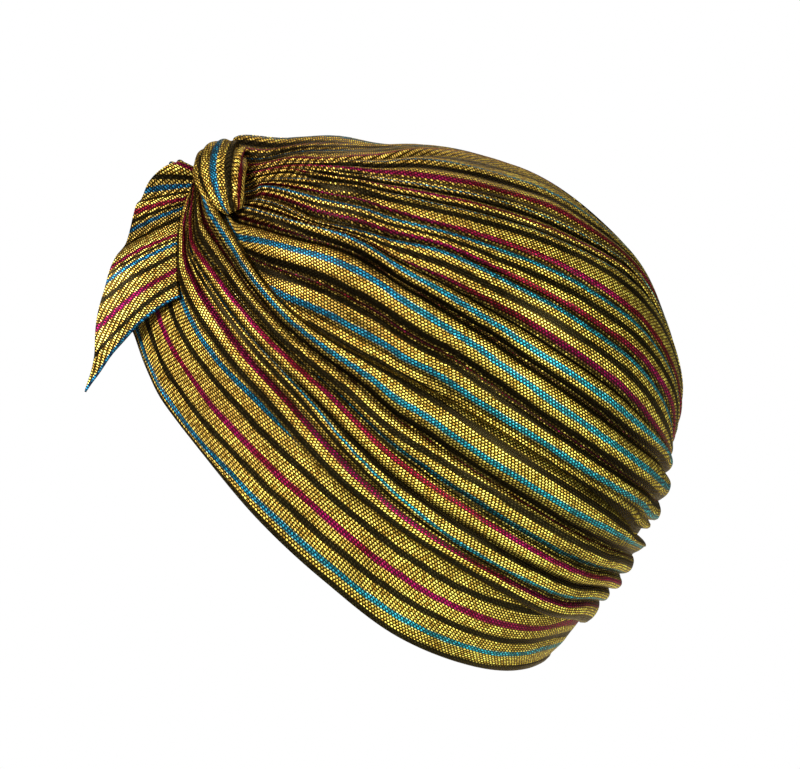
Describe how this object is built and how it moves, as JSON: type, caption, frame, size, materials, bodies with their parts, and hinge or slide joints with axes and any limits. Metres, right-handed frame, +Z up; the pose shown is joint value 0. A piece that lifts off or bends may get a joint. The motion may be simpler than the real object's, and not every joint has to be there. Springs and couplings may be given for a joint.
{
  "type": "turban",
  "caption": "Ready-tied striped head wrap that covers the hair, with a knot and a short leaf-shaped tail in front and gathers at the back.",
  "frame": {"origin": "inside the top of the crown, where it rests on the head", "axes": "+Z up, the front and its knot towards -Y, the wearer's left towards +X"},
  "size_m": [0.1678, 0.2287, 0.2062],
  "materials": {
    "band_cloth": "metallic thread, striped along its length",
    "wrap_cloth": "metallic thread, striped along its length",
    "crown_cloth": "metallic thread, striped along its length",
    "knot_cloth": "metallic thread, striped round the loop",
    "neck_cloth": "metallic thread, striped",
    "tail_cloth": "metallic thread, striped along its length"
  },
  "bodies": {
    "root": {"head_band": "band_cloth", "left_wrap": "wrap_cloth", "right_wrap": "wrap_cloth", "crown": "crown_cloth", "knot": "knot_cloth", "knot_neck": "neck_cloth", "tail": "tail_cloth"}
  },
  "joints": []
}
